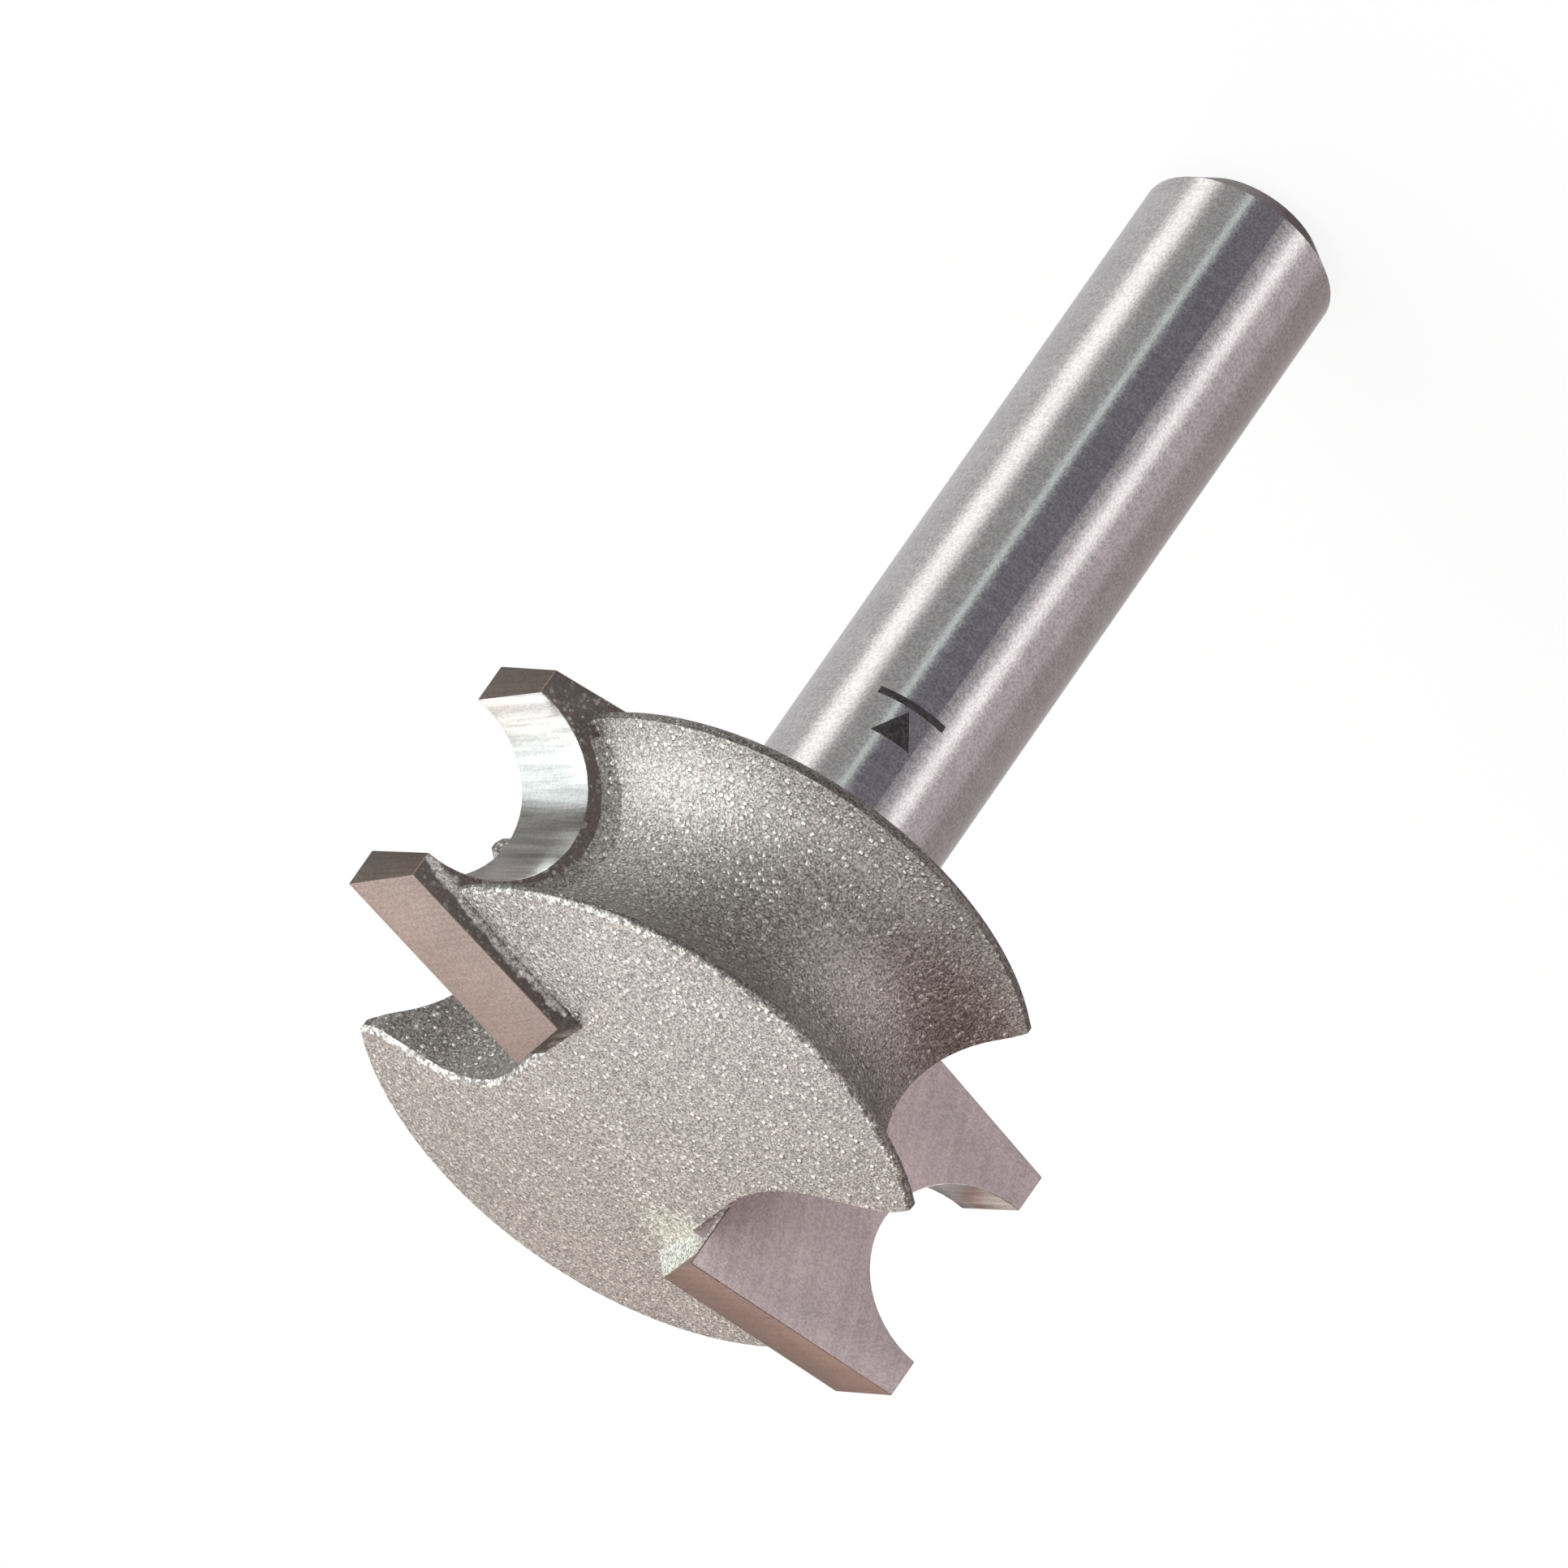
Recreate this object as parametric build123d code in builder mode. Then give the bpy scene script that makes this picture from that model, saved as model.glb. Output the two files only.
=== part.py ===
from build123d import *
import math
import os

# Sunk bead router bit: a turned and milled steel cutter with two brazed carbide tips.
# Millimetres. The shank's flat end stands on Z = 0 and the head's end face looks up.
# Tip 1 reaches out along +X, and tip 2 is tip 1 turned half round the axis.
# Seen from above the cutter turns counterclockwise, and each rake face looks that way.

# Shank
shank_diameter = 6.35
shank_chamfer = 0.85
neck_flare = 1.6

# Cutting edge, in the plane of the rake face
bead_level = 33.87
bead_radius = 3.175
cutting_reach = 11.2
cutting_land = 1.42
rake_offset = 1.11

# Head, turned from the bar, and how far it keeps inside the cutting edge
end_rim_inset = 1.8
shank_rim_inset = 2.1
end_rim_setback = 0.85
shank_rim_setback = 0.4
end_rim_land = 0.26
shank_rim_land = 0.38
groove_clearance = 1.175
crown_rise = 1.1
back_angle = 12.0
end_rim_rounding = 0.18
shank_rim_chamfer = 0.16

# Gullets, milled along the axis
seat_shoulder = 0.35
gullet_straight = 2.42
gullet_radius = 3.3
gullet_wall_angle = 33.0
gullet_mouth_setback = 1.08
gullet_mouth_radius = 1.5
gullet_mouth_turn = 32.0
gullet_edge_chamfer = 0.15

# Carbide tips
tip_thickness = 2.24
tip_inner_reach = 4.0
end_edge_angle = 7.9
back_edge_angle = 10.7
side_relief = 1.03
bead_relief = 0.2
end_relief = 0.27

# Brazing alloy between a tip and its seat
braze_gap = 0.08
braze_fillet = 0.4
braze_fillet_stop = 0.06
braze_ramp_run = 0.9
braze_ramp_height = 0.6

# Sizes that follow
tip_count = 2
shank_radius = shank_diameter / 2
end_rim_radius = cutting_reach - end_rim_inset
shank_rim_radius = cutting_reach - shank_rim_inset
groove_floor_radius = cutting_reach - bead_radius - groove_clearance
half_cut = bead_radius + cutting_land
end_rim_level = bead_level + half_cut - end_rim_setback
shank_rim_level = bead_level - half_cut + shank_rim_setback
crown_level = end_rim_level + crown_rise
gullet_floor = tip_inner_reach - seat_shoulder
back_drop = (shank_rim_radius - shank_radius) * math.tan(math.radians(back_angle))
neck_level = shank_rim_level - back_drop
clear_reach = 2 * cutting_reach
mill_low = neck_level - 2 * neck_flare
mill_height = crown_level + crown_rise - mill_low
rake_plane = Plane(origin=(0, -rake_offset, 0), x_dir=(1, 0, 0), z_dir=(0, -1, 0))

os.makedirs("parts", exist_ok=True)

# Turned form: shank, neck, back cone, two rims with the bead groove between them, and crown
with BuildPart() as turned_form:
    with BuildSketch(Plane.YZ) as turned_section:
        with BuildLine():
            foot = Polyline(
                (0, 0),
                (shank_radius - shank_chamfer, 0),
                (shank_radius, shank_chamfer),
                (shank_radius, neck_level),
                (shank_rim_radius, shank_rim_level),
                (shank_rim_radius, shank_rim_level + shank_rim_land),
            )
            groove = ThreePointArc(
                foot @ 1,
                (groove_floor_radius, bead_level),
                (end_rim_radius, end_rim_level - end_rim_land),
            )
            rim = Line(groove @ 1, (end_rim_radius, end_rim_level))
            crown = TangentArc((0, crown_level), rim @ 1, tangent=(1, 0))
            Line((0, crown_level), (0, 0))
        make_face()
        neck_corner = turned_section.vertices().sort_by_distance((shank_radius, neck_level))[0]
        chamfer(neck_corner, length=neck_flare)
        crown_corner = turned_section.vertices().sort_by_distance((end_rim_radius, end_rim_level))[0]
        fillet(crown_corner, radius=end_rim_rounding)
        back_corner = turned_section.vertices().sort_by_distance((shank_rim_radius, shank_rim_level))[0]
        chamfer(back_corner, length=shank_rim_chamfer)
    revolve(axis=Axis.Z)

# Plan of one gullet: a straight floor, a round corner, a slanting wall and an eased mouth
with BuildSketch() as gullet_plan:
    with BuildLine():
        floor_line = Line(
            (gullet_floor, -rake_offset),
            (gullet_floor, gullet_straight - rake_offset),
        )
        corner = JernArc(floor_line @ 1, (0, 1), gullet_radius, gullet_wall_angle - 90)
        wall_length = end_rim_radius - (corner @ 1).length - gullet_mouth_setback
        wall = PolarLine(corner @ 1, wall_length, direction=corner % 1)
        mouth = JernArc(wall @ 1, wall % 1, gullet_mouth_radius, gullet_mouth_turn)
        way_out = PolarLine(mouth @ 1, clear_reach, direction=mouth % 1)
        outer_corner = ((way_out @ 1).X, -rake_offset)
        Polyline(way_out @ 1, outer_corner, floor_line @ 0)
    make_face()

# Plan of one tip seat, open to the gullet on its rake side
with BuildSketch() as seat_plan:
    with Locations((tip_inner_reach - braze_gap, -rake_offset)):
        Rectangle(clear_reach, tip_thickness + braze_gap, align=(Align.MIN, Align.MAX))

# True for an edge that runs along the floor, wall or mouth of either gullet
def beside_gullet(edge):
    middle = edge @ 0.5
    spots = [Vertex(middle.X, middle.Y), Vertex(-middle.X, -middle.Y)]
    outline = [floor_line, corner, wall, mouth, way_out]
    return min(spot.distance_to(line) for spot in spots for line in outline) < 0.01


# Steel cutter body: the turned form with both gullets and both seats milled through the head
with BuildPart() as cutter_body:
    add(turned_form.part)
    with BuildSketch(Plane.XY.offset(mill_low)):
        with PolarLocations(0, tip_count):
            add(gullet_plan.sketch)
            add(seat_plan.sketch)
    extrude(amount=mill_height, mode=Mode.SUBTRACT)
    crown_face = cutter_body.faces().sort_by(Axis.Z)[-1]
    chamfer(crown_face.edges().filter_by(beside_gullet), length=gullet_edge_chamfer)

# Carbide tip: the cutting outline at the rake face, drawn in all round at the heel for relief
def tip_outline(plane, relief, bead_growth, end_cut):
    reach = cutting_reach - relief
    radius = bead_radius + bead_growth
    depth = reach - tip_inner_reach
    end_corner = bead_level + half_cut - end_cut
    back_corner = bead_level - half_cut + end_cut
    end_rise = depth * math.tan(math.radians(end_edge_angle))
    back_rise = depth * math.tan(math.radians(back_edge_angle))
    with BuildSketch(plane) as outline:
        with BuildLine():
            end_side = Polyline(
                (tip_inner_reach, end_corner + end_rise),
                (reach, end_corner),
                (reach, bead_level + radius),
            )
            ThreePointArc(
                end_side @ 1,
                (reach - radius, bead_level),
                (reach, bead_level - radius),
            )
            Polyline(
                (reach, bead_level - radius),
                (reach, back_corner),
                (tip_inner_reach, back_corner - back_rise),
                end_side @ 0,
            )
        make_face()
    return outline.sketch


rake_outline = tip_outline(rake_plane, 0, 0, 0)
heel_plane = rake_plane.offset(tip_thickness)
heel_outline = tip_outline(heel_plane, side_relief, bead_relief, end_relief)

with BuildPart() as carbide_tip_1:
    loft([rake_outline.face(), heel_outline.face()], ruled=True)

# Brazing alloy: a thin layer behind and inside the tip, and a small ramp on the crown
with BuildPart() as braze_seam_1:
    with BuildSketch(Plane.XY.offset(mill_low)):
        add(seat_plan.sketch)
        with Locations((tip_inner_reach, -rake_offset)):
            Rectangle(
                clear_reach, tip_thickness, align=(Align.MIN, Align.MAX), mode=Mode.SUBTRACT
            )
    extrude(amount=mill_height)
    add(turned_form.part, mode=Mode.INTERSECT)
    back_face = braze_seam_1.faces().filter_by(Axis.Y).sort_by(Axis.Y)[1]
    groove_edge = back_face.edges().sort_by(SortBy.LENGTH)[-1]
    fillet_path = groove_edge.trim(braze_fillet_stop, 1 - braze_fillet_stop)
    with BuildSketch(Plane(fillet_path @ 0, x_dir=(0, 1, 0), z_dir=fillet_path % 0)):
        Polygon((0, braze_fillet), (-braze_fillet, -braze_fillet), (0, -braze_fillet), align=None)
    sweep(path=fillet_path)
    with BuildSketch(rake_plane):
        with BuildLine():
            ramp_top = (tip_inner_reach, crown_level + braze_ramp_height / 2)
            ramp_toe = (tip_inner_reach - braze_ramp_run, crown_level - braze_ramp_height)
            Line(ramp_toe, (tip_inner_reach, ramp_toe[1]))
            Line((tip_inner_reach, ramp_toe[1]), ramp_top)
            Line(ramp_top, ramp_toe)
        make_face()
    extrude(amount=tip_thickness)
    add(cutter_body.part, mode=Mode.SUBTRACT)

# The second tip and its seam stand opposite the first
with BuildPart() as carbide_tip_2:
    add(carbide_tip_1.part, rotation=(0, 0, 180))

with BuildPart() as braze_seam_2:
    add(braze_seam_1.part, rotation=(0, 0, 180))

cutter_body.part.label = "cutter_body"
export_step(cutter_body.part, "parts/cutter_body.step")
carbide_tip_1.part.label = "carbide_tip_1"
export_step(carbide_tip_1.part, "parts/carbide_tip_1.step")
carbide_tip_2.part.label = "carbide_tip_2"
export_step(carbide_tip_2.part, "parts/carbide_tip_2.step")
braze_seam_1.part.label = "braze_seam_1"
export_step(braze_seam_1.part, "parts/braze_seam_1.step")
braze_seam_2.part.label = "braze_seam_2"
export_step(braze_seam_2.part, "parts/braze_seam_2.step")
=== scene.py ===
import math

import bmesh
import bpy
from bpy.props import FloatProperty, FloatVectorProperty, PointerProperty
from mathutils import Matrix, Vector


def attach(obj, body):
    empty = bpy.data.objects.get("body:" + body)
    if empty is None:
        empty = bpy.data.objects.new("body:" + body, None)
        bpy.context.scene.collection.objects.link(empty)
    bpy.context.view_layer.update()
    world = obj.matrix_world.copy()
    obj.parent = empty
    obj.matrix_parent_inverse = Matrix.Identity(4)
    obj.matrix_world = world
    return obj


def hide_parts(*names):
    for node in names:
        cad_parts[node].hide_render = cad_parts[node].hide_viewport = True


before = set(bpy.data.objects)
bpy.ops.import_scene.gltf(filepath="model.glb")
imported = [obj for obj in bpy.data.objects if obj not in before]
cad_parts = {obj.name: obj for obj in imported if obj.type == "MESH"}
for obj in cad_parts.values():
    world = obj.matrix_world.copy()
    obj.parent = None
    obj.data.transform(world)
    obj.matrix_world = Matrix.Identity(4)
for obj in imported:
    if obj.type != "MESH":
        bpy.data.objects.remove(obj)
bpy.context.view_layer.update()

bl_info = {
    "name": "Sunk bead router bit",
    "version": (1, 0, 0),
    "blender": (4, 5, 0),
    "location": "View3D > Sidebar > Router bit",
    "description": "Dresses the packed router bit and sets its studio",
    "category": "Object",
}

MM = 0.001
BODY = "root"


def span(low, high):
    """The two ends of a soft edge, given in millimetres and returned in metres."""
    return low * MM, high * MM


# Places on the solids. A level is a height above the shank's end, a reach is a distance from
# the axis or outward along the tips, and a side is a distance from the plane through both tips.
# The crown is a part of a sphere of the diameter given last.
SHANK_RADIUS = 3.175 * MM
HEAD_START = 29.0 * MM
BEAD_LEVEL = 33.87 * MM
CROWN_TOP = 38.715 * MM
CROWN_SPHERE = 81.4 * MM

# Soft edges of what is painted on the steel head
EASED_EDGE_LEVEL = span(37.3, 37.6)
CROWN_LEVEL = span(37.0, 37.4)
GROOVE_TOP_LEVEL = span(36.5, 37.2)
RIM_LAND_REACH = span(8.95, 9.05)
GULLET_REACH = span(5.8, 6.2)
SEAT_REACH = span(3.7, 4.1)
HEEL_STAIN_AND_SHADE_SIDE = span(3.42, 3.6)
HEEL_LIFT_SIDE = span(3.4, 4.6)
SMEAR_SPOT = (3.3 * MM, -1.8 * MM)
SMEAR_REACH = span(0.7, 1.6)
STRIP_REACH = 4.3 * MM
STRIP_SIDE = 1.3 * MM

# Soft edges by which way a surface faces, from -1 straight down to 1 straight up
EASED_FROM = (0.25, 0.45)
EASED_TO = (0.93, 0.965)
RIM_FROM = (-0.4, -0.2)
RIM_TO = (0.1, 0.3)
CROWN_FACING = (0.9, 0.95)
WALL_FACING = (0.05, 0.2)
ALLOY_WALL_FACING = (0.1, 0.3)

# The same from -1 straight to the axis to 1 straight away from it: gullet walls face less outward
GULLET_FACING = (0.45, 0.7)

# How much darker the rim lands, the gullets' walls (painted shade) and the groove's painted shade
# and stain are, how much lighter the crown is behind the heels (painted light) and under smeared
# alloy, and how much of its tint the alloy gives
LAND_DARKER = 0.42
WALL_DARKER = 0.3
STAIN_AND_SHADE_DARKER = 0.35
HEEL_LIGHTER = 0.45
SMEAR_LIGHTER = 0.1
SMEAR_TINT = 0.9

# Soft edges of what is painted on the brazing alloy
ALLOY_LEVEL = span(37.0, 37.8)
ALLOY_SIDE = span(3.38, 3.52)
STAIN_AND_SHADE_START = span(3.3, 3.9)
STAIN_AND_SHADE_END = span(4.1, 4.6)

# How much of the stain shows on the alloy of tip 1, and of stain with painted shade on that of tip
# 2, how much of it is left farther along the heel, and how much of it shows in the groove
BRIGHT_STAINED = 0.1
STAINED_AND_SHADED = 0.85
STAIN_AND_SHADE_LEAST = 0.2
GROOVE_STAINED = 0.2

# Soft edges of what is painted on the tips: painted light and shade along them, and above the crown
# on their heels
TIP_REACH = span(4.5, 10.5)
FOOT_START = span(-0.3, 0.0)
FOOT_END = span(0.2, 0.34)

# Where a tip's faces are: how far from the bead's level, and how far out
LAND_OFF_BEAD = 3.19 * MM
NOTCH_OFF_BEAD = 3.2 * MM
RELIEF_OFF_BEAD = 3.5 * MM
RELIEF_START = 6.5 * MM
NOTCH_START = 6.9 * MM

# The least that the rake face or heel, a land, and the bead relief face their own way, up to 1
RAKE_FACING = 0.95
LAND_FACING = 0.8
RELIEF_FACING = 0.02

# A tip's materials, in the order of their slots
RAKE, HEEL, LAND, END, RELIEF = range(5)

# How the wheel's lines are turned on a tip's faces
RAKE_LINES = (0.0, 0.35, 0.0)
LAND_LINES = (0.0, math.pi / 2, 0.0)
END_LINES = (0.0, 0.0, -0.43)
RELIEF_LINES = (0.0, 0.0, math.radians(-24.7))

# How metallic the finishes are that aren't wholly so
HEAD_METALLIC = 0.93
ALLOY_METALLIC = 0.9
LAND_METALLIC = 0.9
END_METALLIC = 0.8
HEEL_METALLIC = 0.5
MARK_METALLIC = 0.3
RAKE_METALLIC = 0.25

# How much lighter the steel strips beside the rake faces and the smeared foot of a heel are, how
# much paler the mark is where it burnt less, and the reddish painted shade on tip 1's end
STRIP_LIGHTER = 1.35
FOOT_LIGHTER = 1.3
MARK_PALER = 3.2
SHADED_END_TINT = (0.98, 0.87, 0.84)

# Levels in millimetres between which painted reflection and shade make the polished relief lighter
# or darker, and by how much
PAINTED_RELIEF_BANDS = ((30.8, 32.4, 0.64), (32.6, 33.7, 0.62), (34.2, 35.2, 2.5))

# How fine each kind of unevenness is, in features per metre
HEAD_CLOUDS = 260.0
HEAD_RAGGED = 3200.0
EDGE_BEADS = 5200.0
BLAST_RAGGED = 2500.0
SHANK_CLOUDS = 700.0
SHANK_RINGS = 7000.0
SHANK_GRAIN = 11000.0
CARBIDE_CLOUDS = 420.0
CARBIDE_GRAIN = 12000.0
HEEL_WEAR = 1300.0
FOOT_RAGGED = 2600.0
RELIEF_SHADES = 900.0
RELIEF_STREAKS = 3600.0
ALLOY_RAGGED = 1600.0
MARK_BURN = 9000.0

# How much finer than the grain size its speckle, its clumps and its small dimples are, the soft
# edge of a dimple as a share of its cell, and how steeply the dimples' painted glints get brighter
SPECKLE_FINER = 3.2
CLUMPS_FINER = 1.2
SMALL_DIMPLES_FINER = 1.6
DIMPLE_EDGE = (0.20, 0.44)
DIMPLE_POWER = 1.1

# How far noise shifts the soft edges: behind the heels, where the blasting starts, above the
# crown on the heels, and on the brazing alloy
HEAD_SHIFT = span(-0.15, 0.2)
BLAST_SHIFT = 0.9 * MM
FOOT_SHIFT = span(-0.1, 0.1)
ALLOY_SHIFT = span(-0.3, 0.3)

# How deep the bumps are on ground, dark blasted and bright blasted metal
GROUND_DEPTH = 0.02 * MM
HEEL_DEPTH = 0.05 * MM
BLASTED_DEPTH = 0.06 * MM

# How strongly those bumps show on the shank and on the head
GROUND_BUMP = 0.16
BLASTED_BUMP = 0.7

# Angles between two faces, in radians: taken as flat, honed, and shaded smooth
FLAT = 0.001
HONED_FROM = math.radians(20)
SMOOTH_UP_TO = math.radians(28)

# Points of a solid's mesh that are closer than this, in metres, become one
WELD = 2e-7

# The depth mark: what its tree is told, how far it stands out and sinks in, how close points
# become one, and the arrow's gap in widths of the line
MARK_SIZES = (
    "Shank radius",
    "Level",
    "Bearing",
    "Line length",
    "Line width",
    "Arrow length",
    "Thickness",
)
MARK_THICKNESS = 0.008 * MM
MARK_SINK = 0.002 * MM
MARK_WELD = 1e-7
ARROW_GAP = 1.1

# Points along and across the line, and how often the arrowhead's triangle is split
LINE_POINTS = (25, 3)
ARROW_SPLITS = 3


# Settings


def length(name, description, millimetres):
    return FloatProperty(
        name=name,
        description=description,
        default=millimetres * MM,
        min=0.0,
        precision=6,
        subtype="DISTANCE",
        unit="LENGTH",
    )


def colour(name, description, value):
    return FloatVectorProperty(
        name=name,
        description=description,
        default=value,
        size=3,
        min=0.0,
        max=1.0,
        subtype="COLOR",
    )


def share(name, description, value, top=1.0):
    return FloatProperty(
        name=name, description=description, default=value, min=0.0, max=top, subtype="FACTOR"
    )


def angle(name, description, degrees):
    return FloatProperty(
        name=name,
        description=description,
        default=math.radians(degrees),
        subtype="ANGLE",
        unit="ROTATION",
    )


class SteelSettings(bpy.types.PropertyGroup):
    ground: colour("Ground steel", "Colour of the shank", (0.66, 0.635, 0.645))
    blasted: colour("Blasted steel", "Colour of the head between its grains", (0.55, 0.52, 0.49))
    # The dimples' glints are a painted highlight in this colour
    glint: colour("Grain glint", "Colour of the brightest dimples", (0.98, 0.98, 0.93))
    grain_size: length("Grain size", "Distance between the blasted dimples", 0.225)
    blast_start: length("Blast start", "Level on the shank where the blasting starts", 26.5)
    blast_end: length("Blast end", "Level from which the head is blasted all over", 27.6)


class TipSettings(bpy.types.PropertyGroup):
    rake: colour("Rake face", "Colour of the lapped rake faces", (0.545, 0.452, 0.46))
    # The heels' dark colour is partly dirt from blasting and partly painted shade
    heel: colour("Heel", "Colour of the backs of the tips", (0.17, 0.14, 0.125))
    land: colour("Land", "Colour of the straight lands", (0.185, 0.147, 0.124))
    end: colour("End faces", "Colour of the ground ends", (0.36, 0.283, 0.252))
    relief: colour("Bead relief", "Colour of the polished concave relief", (0.80, 0.79, 0.77))
    edge_break: length("Edge break", "Width of the honed line along each edge", 0.035)


class BrazeSettings(bpy.types.PropertyGroup):
    alloy: colour("Braze", "Colour of the blasted brazing alloy", (0.72, 0.73, 0.65))
    # This dark colour is the flux stain, and on the alloy of tip 2 also painted shade
    tarnish_and_shade: colour("Tarnish", "Colour of the flux stain in it", (0.13, 0.112, 0.095))


class MarkSettings(bpy.types.PropertyGroup):
    level: length("Level", "Height of the depth line on the shank", 22.3)
    bearing: angle("Bearing", "Where round the shank the mark stands", 104.0)
    line_length: length("Line length", "Length of the line round the shank", 2.3)
    line_width: length("Line width", "Width of the laser's line", 0.24)
    arrow_length: length("Arrow length", "Height of the arrowhead that points at the line", 1.15)
    ink: colour("Laser mark", "Colour of the etched strokes", (0.035, 0.03, 0.032))


class StudioSettings(bpy.types.PropertyGroup):
    azimuth: angle("Azimuth", "Camera's bearing round the bit", -169.929)
    elevation: angle("Elevation", "Camera's height above the floor", 32.098)
    roll: angle("Roll", "Turn of the camera about its own view", 145.148)
    lens: FloatProperty(
        name="Lens", description="Focal length", default=1643.17, min=1.0, unit="CAMERA"
    )
    distance: length("Distance", "From the camera to what it looks at", 2109.81)
    aim: FloatVectorProperty(
        name="Aim",
        description="Point in the middle of the picture",
        default=(-1.598 * MM, -2.616 * MM, 23.660 * MM),
        size=3,
        subtype="TRANSLATION",
        unit="LENGTH",
    )
    floor_radius: length("Floor radius", "Size of the pale floor", 900.0)
    floor: colour("Floor", "Colour of the floor", (0.97, 0.97, 0.97))
    shadow: share("Shadow", "How much of the floor's shading shows", 0.10)
    key: FloatProperty(
        name="Key light", description="Power of the lamp", default=0.30, min=0.0, unit="POWER"
    )
    world: share("World", "Strength of the studio's walls", 1.0, 4.0)
    overhead: share("Overhead", "Strength of the light from overhead", 1.37, 4.0)
    ceiling: colour("Ceiling", "Colour of the studio overhead", (1.0, 1.0, 1.0))
    far_ceiling: colour("Far ceiling", "Colour overhead on the far side", (0.25, 0.15, 0.115))
    skirting: colour("Skirting", "Tint of the walls low down", (0.34, 0.222, 0.195))
    underside: colour("Underside", "Colour that surfaces facing down reflect", (0.125, 0.10, 0.105))


class RouterBitSettings(bpy.types.PropertyGroup):
    steel: PointerProperty(type=SteelSettings)
    tips: PointerProperty(type=TipSettings)
    braze: PointerProperty(type=BrazeSettings)
    mark: PointerProperty(type=MarkSettings)
    studio: PointerProperty(type=StudioSettings)


# Shader helpers


class Shader:
    """A node tree with short ways to add, set and join its nodes."""

    def __init__(self, tree):
        self.tree = tree
        tree.nodes.clear()

    def add(self, kind, **values):
        made = self.tree.nodes.new(kind)
        for key, value in values.items():
            setattr(made, key, value)
        return made

    def feed(self, socket, value):
        """Links a socket to another, or sets it to a plain value."""
        if isinstance(value, bpy.types.NodeSocket):
            self.tree.links.new(value, socket)
        elif hasattr(socket, "default_value"):
            wide = hasattr(socket.default_value, "__len__") and len(socket.default_value) == 4
            socket.default_value = (*value, 1.0) if wide and len(value) == 3 else value

    def math(self, operation, *values):
        made = self.add("ShaderNodeMath", operation=operation)
        for socket, value in zip(made.inputs, values):
            self.feed(socket, value)
        return made.outputs[0]

    def times(self, *values):
        """The product of all the values."""
        product = values[0]
        for value in values[1:]:
            product = self.math("MULTIPLY", product, value)
        return product

    def plus(self, first, second):
        return self.math("ADD", first, second)

    def minus(self, first, second):
        return self.math("SUBTRACT", first, second)

    def size(self, value):
        """The value without its sign."""
        return self.math("ABSOLUTE", value)

    def ramp(self, value, low, high, to_low=0.0, to_high=1.0, smooth=True):
        made = self.add("ShaderNodeMapRange")
        made.interpolation_type = "SMOOTHSTEP" if smooth else "LINEAR"
        for name, number in (
            ("Value", value),
            ("From Min", low),
            ("From Max", high),
            ("To Min", to_low),
            ("To Max", to_high),
        ):
            self.feed(made.inputs[name], number)
        return made.outputs["Result"]

    def fade(self, value, low, high, most=1.0):
        """The most below the first number, and nothing above the second."""
        return self.ramp(value, low, high, most, 0.0)

    def between(self, factor, first, second):
        """From the first number to the second, straight, as the factor goes from nothing to one."""
        return self.ramp(factor, 0.0, 1.0, first, second, smooth=False)

    def spread(self, noise, low, high, near=0.2):
        """Noise drawn out from low to high over this much on either side of its middle."""
        return self.ramp(noise, 0.5 - near, 0.5 + near, low, high)

    def mix(self, factor, first, second, blend="MIX"):
        made = self.add("ShaderNodeMix", data_type="RGBA", blend_type=blend)
        self.feed(made.inputs["Factor"], factor)
        self.feed(made.inputs[6], first)
        self.feed(made.inputs[7], second)
        return made.outputs[2]

    def lighten(self, colour, amount):
        """The colour times a number that may be a socket."""
        made = self.add("ShaderNodeVectorMath", operation="SCALE")
        self.feed(made.inputs[0], colour)
        self.feed(made.inputs["Scale"], amount)
        return made.outputs[0]

    def place(self, stretch=(1.0, 1.0, 1.0), turn=(0.0, 0.0, 0.0)):
        """Object coordinates, drawn out along axes that are turned first."""
        where = self.add("ShaderNodeTexCoord")
        made = self.add("ShaderNodeMapping", vector_type="TEXTURE")
        self.feed(made.inputs["Vector"], where.outputs["Object"])
        made.inputs["Scale"].default_value = stretch
        made.inputs["Rotation"].default_value = turn
        return made.outputs["Vector"]

    def split(self, vector=None):
        """X, Y and Z of a vector, or else of the place on the object."""
        made = self.add("ShaderNodeSeparateXYZ")
        self.feed(made.inputs[0], self.place() if vector is None else vector)
        return made.outputs["X"], made.outputs["Y"], made.outputs["Z"]

    def facing(self):
        """X, Y and Z of the way the surface faces."""
        return self.split(self.add("ShaderNodeNewGeometry").outputs["Normal"])

    def squared_reach(self, x, y, centre=(0.0, 0.0)):
        """Square of the distance of X and Y from an upright line."""
        along, aside = (self.minus(each, middle) for each, middle in zip((x, y), centre))
        return self.plus(self.math("POWER", along, 2.0), self.math("POWER", aside, 2.0))

    def reach(self, x, y, centre=(0.0, 0.0)):
        """Distance of X and Y from an upright line."""
        return self.math("SQRT", self.squared_reach(x, y, centre))

    def noise(self, per_metre, detail=2.0, roughness=0.5, **spread):
        made = self.add("ShaderNodeTexNoise")
        self.feed(made.inputs["Vector"], self.place(**spread))
        self.feed(made.inputs["Scale"], per_metre)
        self.feed(made.inputs["Detail"], detail)
        self.feed(made.inputs["Roughness"], roughness)
        return made.outputs["Fac"]

    def cells(self, per_metre):
        made = self.add("ShaderNodeTexVoronoi", feature="F1")
        self.feed(made.inputs["Vector"], self.place())
        self.feed(made.inputs["Scale"], per_metre)
        return made

    def bump(self, height, strength, distance, normal=None):
        made = self.add("ShaderNodeBump")
        self.feed(made.inputs["Height"], height)
        self.feed(made.inputs["Strength"], strength)
        self.feed(made.inputs["Distance"], distance)
        if normal is not None:
            self.feed(made.inputs["Normal"], normal)
        return made.outputs["Normal"]

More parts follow.
